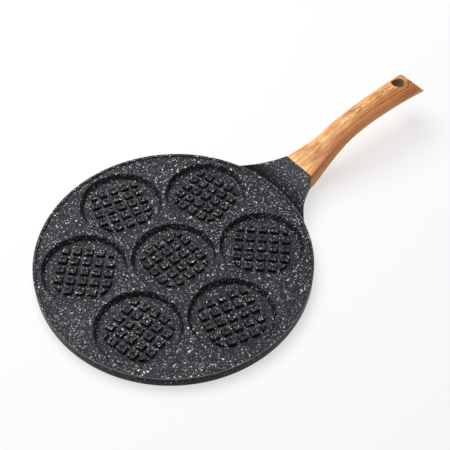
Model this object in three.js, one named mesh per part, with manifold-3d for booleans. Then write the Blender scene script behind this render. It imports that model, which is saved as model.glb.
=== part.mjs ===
// A pancake pan with seven studded wells: a die-cast aluminium pan with its neck, a perforated steel
// disc under the base, and a moulded handle held on the pan's tang by one screw with two washers.
// Millimetres, +Z up. The origin is the centre of the underside, and the handle points along +X.
import * as THREE from "three";
import { mergeVertices } from "three/addons/utils/BufferGeometryUtils.js";
import Module from "manifold-3d";

const wasm = await Module();
wasm.setup();

// Clearances and cutting
const gap = 0.3; // between two pieces that touch or fit
const overrun = 1; // how far a cutter or a root runs past the face that it crosses
const cornerSteps = 2; // straight pieces in a rounded corner

// The plate of the pan
const panRadius = 131;
const panHeight = 13;
const baseEdgeRadius = 2.5;
const lipWidth = 2.6;
const lipStep = 1.5;
const lipDraft = 0.8;
const lipEdgeRadius = 0.9;
const panSides = 80;

// The wells, one in the middle and the rest in a ring
const wellRadius = 40;
const wellDepth = 6.2;
const wellDraft = 2.8;
const wellFloorRadius = 2.2;
const wellEdgeRadius = 0.8;
const wellRingRadius = 83.8;
const ringWells = 6;
const firstWellAngle = Math.PI / ringWells;
const wellSides = 40;

// The square studs on each well's floor
const studPitch = 11.3;
const studTopWidth = 7.4;
const studDraft = 0.5;
const studHeight = 3.6;
const studsPerRow = 5;
const studFieldRadius = 31;
const studFieldTurn = -Math.PI / 12;

// The steel disc and the aluminium rivets that fill its holes
const discRadius = 106;
const discThickness = 0.6;
const discHoleRadius = 4;
const discHoleRingStep = 30;
const discHoleRings = 3;
const holesInFirstRing = 6;
const holeSides = 8;

// The neck, cast in one with the plate
const neckReach = 157.5; // from the pan's axis to the seam with the handle
const neckWidth = 36.3;
const neckThickness = 21.5;
const neckUnderside = 6.7; // height of the neck's lower face at the seam
const neckRootUnderside = 3.4; // and where it leaves the plate
const neckFlareRadius = 86;
const neckRootInset = 1.5; // how far inside the rim the neck starts
const neckRootDrop = 4; // how far below the lip its top starts
const neckSquareness = 12;
const neckRise = 0.85; // power of the curve along which the top climbs
const neckSteps = 9;

// The tang, cast in one with the neck, that the handle slides on
const tangLength = 32;
const tangWidth = 18;
const tangThickness = 7;
const tangRaise = 1.5; // above the handle's centre line, which leaves room for the screw's head
const tangRoot = 8; // how deep it runs back into the neck

// The handle
const handleReach = 172.8; // from the seam to the lowest point of the tip
const handleRise = 29.7;
const tipSlant = THREE.MathUtils.degToRad(42.6); // of the end face, back from upright
const handleStations = 19;
const sectionSides = 24;
const alongShares = [0, 0.165, 0.32, 0.48, 0.64, 0.8, 1];
const riseShares = [0, 0.28, 0.71, 0.92, 0.995, 1, 0.95];
const halfWidths = [18.15, 14.1, 12.4, 12.2, 12.9, 13.4, 14.3];
const halfThicknesses = [10.75, 10.9, 10.7, 10.6, 11, 11.6, 12.2];
const squarenessShares = [1, 0.36, 0.24, 0.2, 0.18, 0.175, 0.18];
const seamSquareness = 12;
const eyeRadius = 8;
const eyeInset = 35; // from the lowest point of the tip back to the hanging eye

// The screw and its washers
const screwRadius = 2;
const screwHeadRadius = 3.8;
const screwHeadHeight = 2.2;
const screwReach = 17; // from the seam, along the tang
const screwEnd = 1.5; // past the tang's upper face
const crossWidth = 1;
const crossLength = 4.2;
const crossDepth = 1.3;
const flatWasherRadius = 4.6;
const flatWasherThickness = 0.7;
const springWasherRadius = 3.8;
const springWasherThickness = 1.1;
const springWasherSlit = 0.8;
const counterboreRadius = 5.2;
const boreWall = 2; // of the handle, between the counterbore's floor and the tang's pocket
const screwSides = 20;

// Points closer than this are one point
const mergeTolerance = 1e-4;

// Heights that several pieces share
const deckHeight = panHeight - lipStep;
const wellFloorHeight = deckHeight - wellDepth;
const seamHeight = neckUnderside + neckThickness / 2;
const recessDepth = discThickness + gap;

const materials = {
  coating: new THREE.MeshStandardMaterial({ color: 0x3a3b3f, roughness: 0.55, metalness: 0.1 }),
  steel: new THREE.MeshStandardMaterial({ color: 0xb9bcc0, roughness: 0.35, metalness: 1 }),
  woodLook: new THREE.MeshStandardMaterial({ color: 0xc98a54, roughness: 0.5, metalness: 0 }),
  zinc: new THREE.MeshStandardMaterial({ color: 0xc4c6c8, roughness: 0.4, metalness: 1 }),
};

// A closed geometry as a solid that can be joined and cut.
function solid(geometry) {
  const bare = geometry.index ? geometry.toNonIndexed() : geometry.clone();
  for (const name of Object.keys(bare.attributes)) {
    if (name !== "position") bare.deleteAttribute(name);
  }
  const merged = mergeVertices(bare, mergeTolerance);
  const vertProperties = merged.attributes.position.array;
  const triVerts = new Uint32Array(merged.index.array);
  return new wasm.Manifold(new wasm.Mesh({ numProp: 3, vertProperties, triVerts }));
}

// A solid as a geometry again.
function geometryOf(made) {
  const mesh = made.getMesh();
  const geometry = new THREE.BufferGeometry();
  geometry.setAttribute("position", new THREE.BufferAttribute(mesh.vertProperties, mesh.numProp));
  geometry.setIndex(new THREE.BufferAttribute(mesh.triVerts, 1));
  geometry.computeVertexNormals();
  return geometry;
}

// A path of straight lines with round corners. Each corner is [x, y] or [x, y, radius].
function roundedPath(corners, steps = cornerSteps) {
  const path = [];
  corners.forEach(([x, y, radius], i) => {
    const here = new THREE.Vector2(x, y);
    if (!radius) {
      path.push(here);
      return;
    }
    const before = new THREE.Vector2(...corners[i - 1]).sub(here).normalize();
    const after = new THREE.Vector2(...corners[i + 1]).sub(here).normalize();
    const half = Math.acos(THREE.MathUtils.clamp(before.dot(after), -1, 1)) / 2;
    const reach = radius / Math.tan(half);
    const middle = before.clone().add(after).normalize().multiplyScalar(radius / Math.sin(half)).add(here);
    const start = here.clone().addScaledVector(before, reach).sub(middle);
    const end = here.clone().addScaledVector(after, reach).sub(middle);
    const turn = Math.atan2(start.cross(end), start.dot(end));
    for (let step = 0; step <= steps; step++) {
      path.push(start.clone().rotateAround(new THREE.Vector2(), (turn * step) / steps).add(middle));
    }
  });
  return path;
}

// A profile of radius and height, turned about the Z axis.
function turned(profile, sides) {
  const geometry = new THREE.LatheGeometry(profile, sides);
  return geometry.rotateX(Math.PI / 2);
}

// A plain round bar along Z, from one height to another.
function bar(radius, low, high, sides) {
  const geometry = new THREE.CylinderGeometry(radius, radius, high - low, sides);
  return geometry.rotateX(Math.PI / 2).translate(0, 0, (low + high) / 2);
}

// Rings of equally many points, joined in turn and closed by a fan at each end.
function lofted(rings) {
  const count = rings[0].length;
  const points = rings.flat();
  const centre = (ring) => ring.reduce((sum, p) => sum.add(p), new THREE.Vector3()).divideScalar(count);
  points.push(centre(rings[0]), centre(rings.at(-1)));
  const faces = [];
  for (let i = 0; i < count; i++) {
    const next = (i + 1) % count;
    for (let ring = 0; ring < rings.length - 1; ring++) {
      const low = ring * count;
      const high = low + count;
      faces.push(low + i, low + next, high + next, low + i, high + next, high + i);
    }
    const last = (rings.length - 1) * count;
    faces.push(next, i, points.length - 2, last + i, last + next, points.length - 1);
  }
  const geometry = new THREE.BufferGeometry().setFromPoints(points);
  return geometry.setIndex(faces);
}

// A point of a superellipse whose half-sizes are 1, from an ellipse at 2 towards a square.
function squaredCircle(angle, squareness) {
  const power = 2 / squareness;
  const bend = (value) => Math.sign(value) * Math.abs(value) ** power;
  return [bend(Math.cos(angle)), bend(Math.sin(angle))];
}

// The wells' centres, in the plane of the deck, with the direction in which each one faces.
function wellPlaces() {
  const places = [{ x: 0, y: 0, facing: -studFieldTurn }];
  for (let i = 0; i < ringWells; i++) {
    const facing = firstWellAngle + (i * 2 * Math.PI) / ringWells;
    places.push({ x: wellRingRadius * Math.cos(facing), y: wellRingRadius * Math.sin(facing), facing });
  }
  return places;
}

// The centres of the disc's holes, ring by ring.
function discHolePlaces() {
  const places = [];
  for (let ring = 1; ring <= discHoleRings; ring++) {
    const count = holesInFirstRing * ring;
    for (let i = 0; i < count; i++) {
      const angle = (i * 2 * Math.PI) / count;
      places.push([ring * discHoleRingStep * Math.cos(angle), ring * discHoleRingStep * Math.sin(angle)]);
    }
  }
  return places;
}

// The plate: flat base with a recess for the disc, upright wall, raised lip and flat deck.
function plate() {
  const recessRadius = discRadius + gap;
  const crestInside = panRadius - lipWidth;
  const profile = roundedPath([
    [0, recessDepth],
    [recessRadius, recessDepth],
    [recessRadius, 0],
    [panRadius, 0, baseEdgeRadius],
    [panRadius, panHeight, lipEdgeRadius],
    [crestInside, panHeight, lipEdgeRadius / 2],
    [crestInside - lipDraft, deckHeight],
    [0, deckHeight],
  ]);
  return solid(turned(profile, panSides));
}

// What a well takes out of the plate.
function wellCutter() {
  const profile = roundedPath([
    [0, wellFloorHeight],
    [wellRadius - wellDraft, wellFloorHeight, wellFloorRadius],
    [wellRadius, deckHeight, wellEdgeRadius],
    [wellRadius + wellEdgeRadius * 2, deckHeight],
    [wellRadius + wellEdgeRadius * 2, deckHeight + overrun],
    [0, deckHeight + overrun],
  ]);
  return turned(profile, wellSides);
}

// The studs of one well: a square field cut round, so that the corner ones are only part there.
function studField() {
  const rootDepth = overrun / 2;
  const slope = studDraft / studHeight;
  const rootWidth = studTopWidth + 2 * slope * (studHeight + rootDepth);
  const stud = new THREE.CylinderGeometry(
    studTopWidth * Math.SQRT1_2, rootWidth * Math.SQRT1_2, studHeight + rootDepth, 4);
  stud.rotateY(Math.PI / 4).rotateX(Math.PI / 2).translate(0, 0, (studHeight - rootDepth) / 2);
  const reach = (studsPerRow - 1) / 2;
  const studs = [];
  for (let row = -reach; row <= reach; row++) {
    for (let column = -reach; column <= reach; column++) {
      studs.push(solid(stud.clone().translate(row * studPitch, column * studPitch, 0)));
    }
  }
  const round = solid(bar(studFieldRadius, -rootDepth, studHeight + overrun, wellSides));
  return geometryOf(wasm.Manifold.union(studs).intersect(round));
}

// One side of the neck seen from above: an arc that leaves the rim smoothly and ends at the seam.
function neckFlare() {
  const distance = panRadius + neckFlareRadius;
  const halfWidth = neckWidth / 2;
  const reach = Math.hypot(neckReach, halfWidth);
  const share = (reach ** 2 + distance ** 2 - neckFlareRadius ** 2) / (2 * distance * reach);
  const bearing = Math.atan2(halfWidth, neckReach) + Math.acos(share);
  const x = distance * Math.cos(bearing);
  const y = distance * Math.sin(bearing);
  const start = bearing + Math.PI;
  const end = Math.atan2(halfWidth - y, neckReach - x) + 2 * Math.PI;
  return (t) => {
    const angle = start + (end - start) * t;
    return [x + neckFlareRadius * Math.cos(angle), y + neckFlareRadius * Math.sin(angle)];
  };
}

// The neck: from the rim's own curve to the straight seam, climbing as it goes.
function neck() {
  const flare = neckFlare();
  const [rootX, rootY] = flare(0);
  const innerRadius = panRadius - neckRootInset;
  const inset = innerRadius / panRadius;
  const rings = [];
  for (let step = 0; step <= neckSteps; step++) {
    const t = step / neckSteps;
    const [sideX, sideY] = flare(t);
    const rootTop = panHeight - neckRootDrop;
    const top = rootTop + (neckUnderside + neckThickness - rootTop) * t ** neckRise;
    const bottom = neckRootUnderside + (neckUnderside - neckRootUnderside) * t;
    const ring = [];
    for (let i = 0; i < sectionSides; i++) {
      const angle = ((i + 0.5) * 2 * Math.PI) / sectionSides;
      const [across, up] = squaredCircle(angle, neckSquareness);
      const bulge = Math.sqrt(innerRadius ** 2 - (across * rootY * inset) ** 2) - rootX * inset;
      const x = sideX * (t + (1 - t) * inset) + (1 - t) * bulge;
      const y = across * sideY * (t + (1 - t) * inset);
      ring.push(new THREE.Vector3(x, y, (top + bottom) / 2 + (up * (top - bottom)) / 2));
    }
    rings.push(ring);
  }
  return solid(lofted(rings));
}

// The slope of the handle's centre line where it leaves the seam.
function tangTilt() {
  return Math.atan2(riseShares[1] * handleRise, alongShares[1] * handleReach);
}

// Moves a geometry from the tang's own frame, X along it from the seam, to its place.
function onTang(geometry) {
  return geometry.rotateY(-tangTilt()).translate(neckReach, 0, seamHeight);
}

// A bar of the tang's section, grown on every side and drawn out at both ends.
function tangBar(growth, root, length) {
  const geometry = new THREE.BoxGeometry(root + length, tangWidth + 2 * growth, tangThickness + 2 * growth);
  return onTang(geometry.translate((length - root) / 2, 0, tangRaise));
}

// A round hole or bar square to the tang, at the screw.
function atScrew(geometry) {
  return onTang(geometry.translate(screwReach, 0, 0));
}

function panBody() {
  let body = plate();
  const cutter = wellCutter();
  const studs = studField();
  for (const { x, y, facing } of wellPlaces()) {
    body = body.subtract(solid(cutter.clone().translate(x, y, 0)));
    const placed = studs.clone().rotateZ(facing + studFieldTurn).translate(x, y, wellFloorHeight);
    body = body.add(solid(placed));
  }
  for (const [x, y] of discHolePlaces()) {
    const rivet = bar(discHoleRadius - gap, 0, recessDepth + overrun / 2, holeSides);
    body = body.add(solid(rivet.translate(x, y, 0)));
  }
  body = body.add(neck());
  body = body.add(solid(tangBar(0, tangRoot, tangLength)));
  const threadRadius = screwRadius + gap;
  return body.subtract(solid(atScrew(bar(threadRadius, -tangThickness, tangThickness, screwSides))));
}

function inductionDisc() {
  const circle = (radius, sides, cx, cy) => {
    const points = [];
    for (let i = 0; i < sides; i++) {
      const angle = (i * 2 * Math.PI) / sides;
      points.push(new THREE.Vector2(cx + radius * Math.cos(angle), cy + radius * Math.sin(angle)));
    }
    return points;
  };
  const outline = new THREE.Shape(circle(discRadius, panSides, 0, 0));
  outline.holes = discHolePlaces().map(([x, y]) => new THREE.Path(circle(discHoleRadius, holeSides, x, y)));
  return new THREE.ExtrudeGeometry(outline, { depth: discThickness, bevelEnabled: false });
}

// A smooth curve through values given at shares of the handle's length.
function along(values) {
  const points = alongShares.map((share, i) => new THREE.Vector2(share, values[i]));
  const curve = new THREE.SplineCurve(points);
  return (share) => {
    const place = alongShares.findIndex((end, i) => i > 0 && share <= end);
    const stretch = place < 0 ? alongShares.length - 1 : place;
    const within = (share - alongShares[stretch - 1]) / (alongShares[stretch] - alongShares[stretch - 1]);
    return curve.getPoint((stretch - 1 + within) / (alongShares.length - 1)).y;
  };
}

// The height of the handle's centre line above the underside of the pan.
function handleHeight(share) {
  return seamHeight + handleRise * along(riseShares)(share);
}

// The handle: a bar whose section goes from the neck's oblong to a rounded one, with a slanted end.
function handleGrip() {
  const halfWidth = along(halfWidths);
  const halfThickness = along(halfThicknesses);
  const squareness = along(squarenessShares);
  const rings = [];
  for (let station = 0; station < handleStations; station++) {
    const share = station / (handleStations - 1);
    const x = neckReach + gap + (handleReach - gap) * share;
    const ring = [];
    for (let i = 0; i < sectionSides; i++) {
      const angle = ((i + 0.5) * 2 * Math.PI) / sectionSides;
      const [across, up] = squaredCircle(angle, seamSquareness * squareness(share));
      ring.push(new THREE.Vector3(x, across * halfWidth(share), handleHeight(share) + up * halfThickness(share)));
    }
    rings.push(ring);
  }
  let grip = solid(lofted(rings));

  const tipHeight = handleHeight(1) - halfThickness(1);
  const side = 4 * halfThickness(1);
  const endCutter = new THREE.BoxGeometry(side, side, 2 * side).translate(side / 2, 0, 0);
  endCutter.rotateY(-tipSlant).translate(neckReach + handleReach, 0, tipHeight);
  grip = grip.subtract(solid(endCutter));

  const eyeReach = handleReach - eyeInset;
  const eyeX = neckReach + eyeReach;
  const eyeShare = eyeReach / handleReach;
  const eyeCentre = handleHeight(eyeShare);
  const halfEye = halfThickness(eyeShare) + overrun;
  const eye = bar(eyeRadius, eyeCentre - halfEye, eyeCentre + halfEye, screwSides);
  grip = grip.subtract(solid(eye.translate(eyeX, 0, 0)));

  grip = grip.subtract(solid(tangBar(gap, tangRoot, tangLength + gap)));
  const boreFloor = screwBoreFloor();
  const boreRadius = screwRadius + gap;
  grip = grip.subtract(solid(atScrew(bar(boreRadius, boreFloor - overrun, screwTop() + gap, screwSides))));
  const counterbore = bar(counterboreRadius, boreFloor - neckThickness, boreFloor, screwSides);
  return geometryOf(grip.subtract(solid(atScrew(counterbore))));
}

// The height of the screw's end above the handle's centre line.
function screwTop() {
  return tangRaise + tangThickness / 2 + screwEnd;
}

// The height of the face that the washers press on, under the tang's pocket.
function screwBoreFloor() {
  return tangRaise - tangThickness / 2 - gap - boreWall;
}

// The upper faces of the flat washer, the spring washer and the screw's head.
function stack() {
  const flat = screwBoreFloor() - gap;
  const spring = flat - flatWasherThickness - gap;
  const head = spring - springWasherThickness - gap;
  return { flat, spring, head };
}

function handleScrew() {
  const { head } = stack();
  const low = head - screwHeadHeight;
  const profile = roundedPath([
    [0, low],
    [screwHeadRadius, low, screwHeadHeight / 2],
    [screwHeadRadius, head],
    [screwRadius, head],
    [screwRadius, screwTop()],
    [0, screwTop()],
  ]);
  let screw = solid(turned(profile, screwSides));
  const crossHeight = crossDepth + overrun;
  for (const turn of [0, Math.PI / 2]) {
    const slot = new THREE.BoxGeometry(crossLength, crossWidth, crossHeight);
    slot.rotateZ(turn).translate(0, 0, low + crossDepth - crossHeight / 2);
    screw = screw.subtract(solid(slot));
  }
  return atScrew(geometryOf(screw));
}

function washer(radius, top, thickness) {
  const ring = solid(bar(radius, top - thickness, top, screwSides));
  const hole = bar(screwRadius + gap, top - thickness - overrun, top + overrun, screwSides);
  return ring.subtract(solid(hole));
}

function flatWasher() {
  return atScrew(geometryOf(washer(flatWasherRadius, stack().flat, flatWasherThickness)));
}

function springWasher() {
  const top = stack().spring;
  const slit = new THREE.BoxGeometry(springWasherRadius + overrun, springWasherSlit, springWasherThickness * 3);
  slit.translate((springWasherRadius + overrun) / 2, 0, top - springWasherThickness / 2);
  const ring = washer(springWasherRadius, top, springWasherThickness);
  return atScrew(geometryOf(ring.subtract(solid(slit))));
}

function piece(name, geometry, material) {
  const mesh = new THREE.Mesh(geometry, material);
  mesh.name = name;
  return mesh;
}

const pan = new THREE.Group();
pan.add(
  piece("pan_body", geometryOf(panBody()), materials.coating),
  piece("induction_disc", inductionDisc(), materials.steel),
  piece("handle_grip", handleGrip(), materials.woodLook),
  piece("handle_screw", handleScrew(), materials.zinc),
  piece("flat_washer", flatWasher(), materials.zinc),
  piece("spring_washer", springWasher(), materials.zinc),
);

export default pan;
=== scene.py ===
import math
from functools import partial

import bmesh
import bpy
import numpy as np
from mathutils import Matrix, Vector
from mathutils.geometry import delaunay_2d_cdt


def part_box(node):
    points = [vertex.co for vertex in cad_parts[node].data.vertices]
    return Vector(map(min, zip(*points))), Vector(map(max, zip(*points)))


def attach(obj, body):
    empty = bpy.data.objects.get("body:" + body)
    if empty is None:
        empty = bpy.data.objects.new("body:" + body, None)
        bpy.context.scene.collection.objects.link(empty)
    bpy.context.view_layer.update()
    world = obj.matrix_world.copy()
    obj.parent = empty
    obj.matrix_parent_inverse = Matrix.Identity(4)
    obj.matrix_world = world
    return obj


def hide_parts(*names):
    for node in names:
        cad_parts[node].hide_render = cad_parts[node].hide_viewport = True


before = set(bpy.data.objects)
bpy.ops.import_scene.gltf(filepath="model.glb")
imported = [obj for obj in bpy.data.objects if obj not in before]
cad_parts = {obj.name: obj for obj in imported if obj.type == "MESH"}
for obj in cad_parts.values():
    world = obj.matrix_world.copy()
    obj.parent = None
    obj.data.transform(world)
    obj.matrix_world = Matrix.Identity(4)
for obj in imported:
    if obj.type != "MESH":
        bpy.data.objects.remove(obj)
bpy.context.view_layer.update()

scene = bpy.context.scene
mm = 0.001

# The pan is one aluminium die casting: a flat plate with a raised lip, seven wells with square studs,
# a flared neck and a tang that the handle slides on. A charcoal non-stick coating covers all of it,
# so its edges are soft and nothing in it has a seam.
gap = 0.3 * mm  # between pieces that touch
pan_radius = -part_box("pan_body")[0].x
pan_height = 13 * mm
plate_sides = 320
base_edge_radius = 2.5 * mm
lip_width = 2.6 * mm
lip_step = 1.5 * mm
lip_draft = 0.8 * mm
lip_edge_radius = 0.45 * mm
lip_foot_radius = 0.35 * mm
deck_height = pan_height - lip_step
arc_steps = 3
support = 0.8 * mm  # a flat strip beside each rounded edge, so that the flat face stays flat
merge_distance = 0.002 * mm
loop_merge = 1e-5  # in mm, far less than lies between any two points of a flat face
inside_only = 1  # the triangulation's output type that leaves out what lies outside all loops

well_radius = 40 * mm
well_depth = 6.2 * mm
well_draft = 2.8 * mm
well_floor_radius = 2.2 * mm
well_edge_radius = 0.8 * mm
well_ring_radius = 83.8 * mm
ring_wells = 6
first_well = math.radians(30)  # from the handle's direction
well_arc_steps = 4
well_floor = deck_height - well_depth

stud_pitch = 11.3 * mm
stud_half = 3.7 * mm
stud_draft = 0.5 * mm
stud_height = 3.6 * mm
stud_corner_radius = 0.9 * mm
stud_foot_radius = 0.5 * mm
stud_edge_radius = 0.45 * mm
stud_edge_strip = 1.5 * stud_edge_radius
stud_arc_steps = 2
studs_per_row = 5
stud_field_radius = 31 * mm
clipped_stud_shift = 1.5 * mm
stud_field_turn = math.radians(-15)
dimple_radius = 1.9 * mm
dimple_depth = 1.6 * mm
# Rings of a dimple, as shares of its radius and of its depth, and rings of a clipped stud's plain top
dimple_rings = ((1.15, 0), (0.9, 0.3), (0.5, 0.85))
plain_rings = (0.7, 0.45, 0.2)
# Where the outline's points lie along one side of a stud, closer together at its round corners
side_shares = np.array([-1, -0.9, -0.79, -0.45, 0, 0.45, 0.79, 0.9])
outline_halvings = 40


def rounded_path(corners, steps=arc_steps):
    """Points of a path through corners (x, y) or (x, y, radius). A radius puts an arc there that
    touches both lines: it starts at radius / tan(half the corner's angle) from the corner."""
    path = []
    for i, (x, y, *radius) in enumerate(corners):
        here = np.array([x, y])
        if not radius:
            path.append(here)
            continue
        before = np.array(corners[i - 1][:2]) - here
        after = np.array(corners[i + 1][:2]) - here
        before, after = before / np.linalg.norm(before), after / np.linalg.norm(after)
        half = math.acos(np.clip(before @ after, -1, 1)) / 2
        bisector = (before + after) / np.linalg.norm(before + after)
        middle = here + bisector * radius[0] / math.sin(half)
        start = here + before * radius[0] / math.tan(half) - middle
        end = here + after * radius[0] / math.tan(half) - middle
        turn = math.atan2(start[0] * end[1] - start[1] * end[0], start @ end)
        for angle in np.linspace(0, turn, steps + 1):
            c, s = math.cos(angle), math.sin(angle)
            path.append(middle + np.array([c * start[0] - s * start[1], s * start[0] + c * start[1]]))
    return np.array(path)


def ring_surface(rings, start=None, end=None):
    """Rings of equally many points joined by quads, ring to ring and the last point to the first, with
    a fan of triangles to a middle point at either end."""
    count = rings.shape[1]
    points = rings.reshape(-1, 3)
    i, j = np.meshgrid(np.arange(len(rings) - 1), np.arange(count), indexing="ij")
    k = (j + 1) % count
    corners = [i * count + j, i * count + k, (i + 1) * count + k, (i + 1) * count + j]
    faces = np.stack(corners, -1).reshape(-1, 4).tolist()
    for first, middle in ((0, start), (len(points) - count, end)):
        if middle is not None:
            ring = first + np.arange(count)
            faces += np.stack([ring, np.roll(ring, -1), np.full(count, len(points))], -1).tolist()
            points = np.vstack([points, middle])
    return points, faces


def turned(profile, angles, start=None, end=None):
    """A profile of radius and height carried round the Z axis: x and y are the radius times the
    cosine and sine of each angle."""
    radius, height = profile[:, :1], profile[:, 1:]
    rings = np.stack([radius * np.cos(angles), radius * np.sin(angles), height + 0 * angles], -1)
    return ring_surface(rings, start, end)


def turn_matrix(angle):
    """The matrix that turns rows of points about the Z axis."""
    c, s = math.cos(angle), math.sin(angle)
    return np.array([[c, s, 0], [-s, c, 0], [0, 0, 1]])


def moved(patch, angle, x, y, z):
    """A patch turned about the Z axis and then shifted."""
    points, faces = patch
    return points @ turn_matrix(angle) + np.array([x, y, z]), faces


def flat_between(outer, holes, height):
    """A flat face inside an outer loop and outside holes: all triangles between the loops' points,
    apart from those whose three corners lie on one hole, because these fill it."""
    loops = [outer, *holes]
    edges, start = [], 0
    for loop in loops:
        i = start + np.arange(len(loop))
        edges += np.stack([i, np.roll(i, -1)], -1).tolist()
        start += len(loop)
    flat = [Vector(p) for p in (np.vstack(loops) / mm).tolist()]
    points, _, faces, origin, *_ = delaunay_2d_cdt(flat, edges, [], inside_only, loop_merge)
    owner = np.repeat(np.arange(len(loops)), [len(loop) for loop in loops])[[o[0] for o in origin]]
    faces = np.array(faces)
    corners = owner[faces]
    fills_hole = (corners == corners[:, :1]).all(1) & (corners[:, 0] > 0)
    points = np.array([[p[0] * mm, p[1] * mm, height] for p in points])
    return points, faces[~fills_hole].tolist()


def circle(radius, angles, x=0.0, y=0.0):
    """Points at one distance from a middle, one for each angle."""
    return np.stack([x + radius * np.cos(angles), y + radius * np.sin(angles)], -1)


def even_angles(count):
    """Angles that divide a full turn into equal steps."""
    return np.arange(count) * 2 * np.pi / count


def mesh_object(name, patches):
    """One mesh from patches of points and faces. Points at the same place become one, which closes
    the seams between patches, and the faces are then turned to point outwards."""
    points, faces, start = [], [], 0
    for patch_points, patch_faces in patches:
        points.append(patch_points)
        faces += [[start + corner for corner in face] for face in patch_faces]
        start += len(patch_points)
    mesh = bpy.data.meshes.new(name)
    mesh.from_pydata(np.vstack(points).tolist(), [], faces)
    build = bmesh.new()
    build.from_mesh(mesh)
    bmesh.ops.remove_doubles(build, verts=build.verts, dist=merge_distance)
    bmesh.ops.recalc_face_normals(build, faces=build.faces)
    build.to_mesh(mesh)
    build.free()
    piece = bpy.data.objects.new(name, mesh)
    scene.collection.objects.link(piece)
    return piece


def combine(base, patch, operation):
    """A closed patch joined to base or cut away from it, once and for all. What that leaves without
    length or area is then merged away, and faces of many corners become triangles."""
    other = mesh_object("other", [patch])
    cut = base.modifiers.new("cut", "BOOLEAN")
    cut.operation = operation
    cut.object = other
    cut.solver = "EXACT"
    seen = base.evaluated_get(bpy.context.evaluated_depsgraph_get())
    mesh = bpy.data.meshes.new_from_object(seen)
    base.modifiers.remove(cut)
    base.data = mesh
    build = bmesh.new()
    build.from_mesh(mesh)
    bmesh.ops.remove_doubles(build, verts=build.verts, dist=merge_distance)
    bmesh.ops.dissolve_degenerate(build, edges=build.edges, dist=merge_distance)
    bmesh.ops.triangulate(build, faces=[face for face in build.faces if len(face.verts) > 4])
    build.to_mesh(mesh)
    build.free()
    bpy.data.objects.remove(other)


def shade(piece, angle=35):
    """Smooth shading that stays crisp where faces meet at more than this angle, in degrees."""
    piece.data.shade_smooth()
    piece.data.set_sharp_from_angle(angle=math.radians(angle))


def stud_distance(points, clipped, cell):
    """Signed distance to a stud's top outline: a square with round corners, and on a clipped stud
    also the circle that bounds the field, joined with the same corner radius."""
    inner = np.abs(points) - (stud_half - stud_corner_radius)
    distance = np.linalg.norm(np.maximum(inner, 0), axis=-1) + np.minimum(inner.max(-1), 0)
    distance = distance - stud_corner_radius
    if clipped:
        from_rim = np.linalg.norm(points + cell, axis=-1) - stud_field_radius
        blend = stud_corner_radius / 2
        both = np.stack([distance, from_rim], -1)
        rounded = np.linalg.norm(np.maximum(both + blend, 0), axis=-1)
        distance = np.minimum(both.max(-1), -blend) + rounded
    return distance


def outline_from(middle, rays, offset, clipped, cell):
    """Where rays from a stud's middle cross its outline grown by an offset, found by halving."""
    low, high = np.zeros(len(rays)), np.full(len(rays), stud_pitch)
    for _ in range(outline_halvings):
        reach = (low + high) / 2
        inside = stud_distance(middle + rays * reach[:, None], clipped, cell) < offset
        low, high = np.where(inside, reach, low), np.where(inside, high, reach)
    return middle + rays * low[:, None]


def square_outline(shares):
    """Points round a square whose sides are 2 long: the same shares of the way along each side."""
    one = np.ones_like(shares)
    right, top = np.stack([one, shares], 1), np.stack([-shares, one], 1)
    return np.concatenate([right, top, -right, -top])


def stud_cell(clipped, cell):
    """The floor round one stud, with the stud: rings from the cell's edge in to the stud's foot,
    up its side and over its edge, then down into the dimple or in over a clipped stud's top."""
    edge = square_outline(side_shares) * stud_pitch / 2
    middle = np.zeros(2)
    if clipped:
        middle = middle - clipped_stud_shift
        corner = np.array([stud_pitch / 2, -stud_pitch / 2]) + cell
        first = math.atan2(corner[1], corner[0])
        half = 2 * len(side_shares)
        angles = np.linspace(first, math.pi / 2 - first, half, endpoint=False)
        edge[:half] = circle(np.linalg.norm(corner), angles) - cell
    rays = edge - middle
    rays = rays / np.linalg.norm(rays, axis=-1, keepdims=True)
    side = rounded_path([
        (stud_draft + 2 * stud_foot_radius, 0),
        (stud_draft, 0, stud_foot_radius),
        (0, stud_height, stud_edge_radius),
        (-stud_edge_strip, stud_height),
    ], stud_arc_steps)
    flat = [edge] + [outline_from(middle, rays, offset, clipped, cell) for offset, _ in side]
    heights = [0, *side[:, 1]]
    if clipped:
        last = flat[-1] - middle
        flat += [middle + last * share for share in plain_rings]
        heights += [stud_height] * len(plain_rings)
        bottom = stud_height
    else:
        flat += [rays * dimple_radius * share for share, _ in dimple_rings]
        heights += [stud_height - dimple_depth * share for _, share in dimple_rings]
        bottom = stud_height - dimple_depth
    rings = np.stack([np.column_stack([ring, np.full(len(ring), h)]) for ring, h in zip(flat, heights)])
    rings = rings + np.array([*cell, 0])
    return ring_surface(rings, end=np.array([*(middle + cell), bottom])), rings[0, :, :2]


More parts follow.
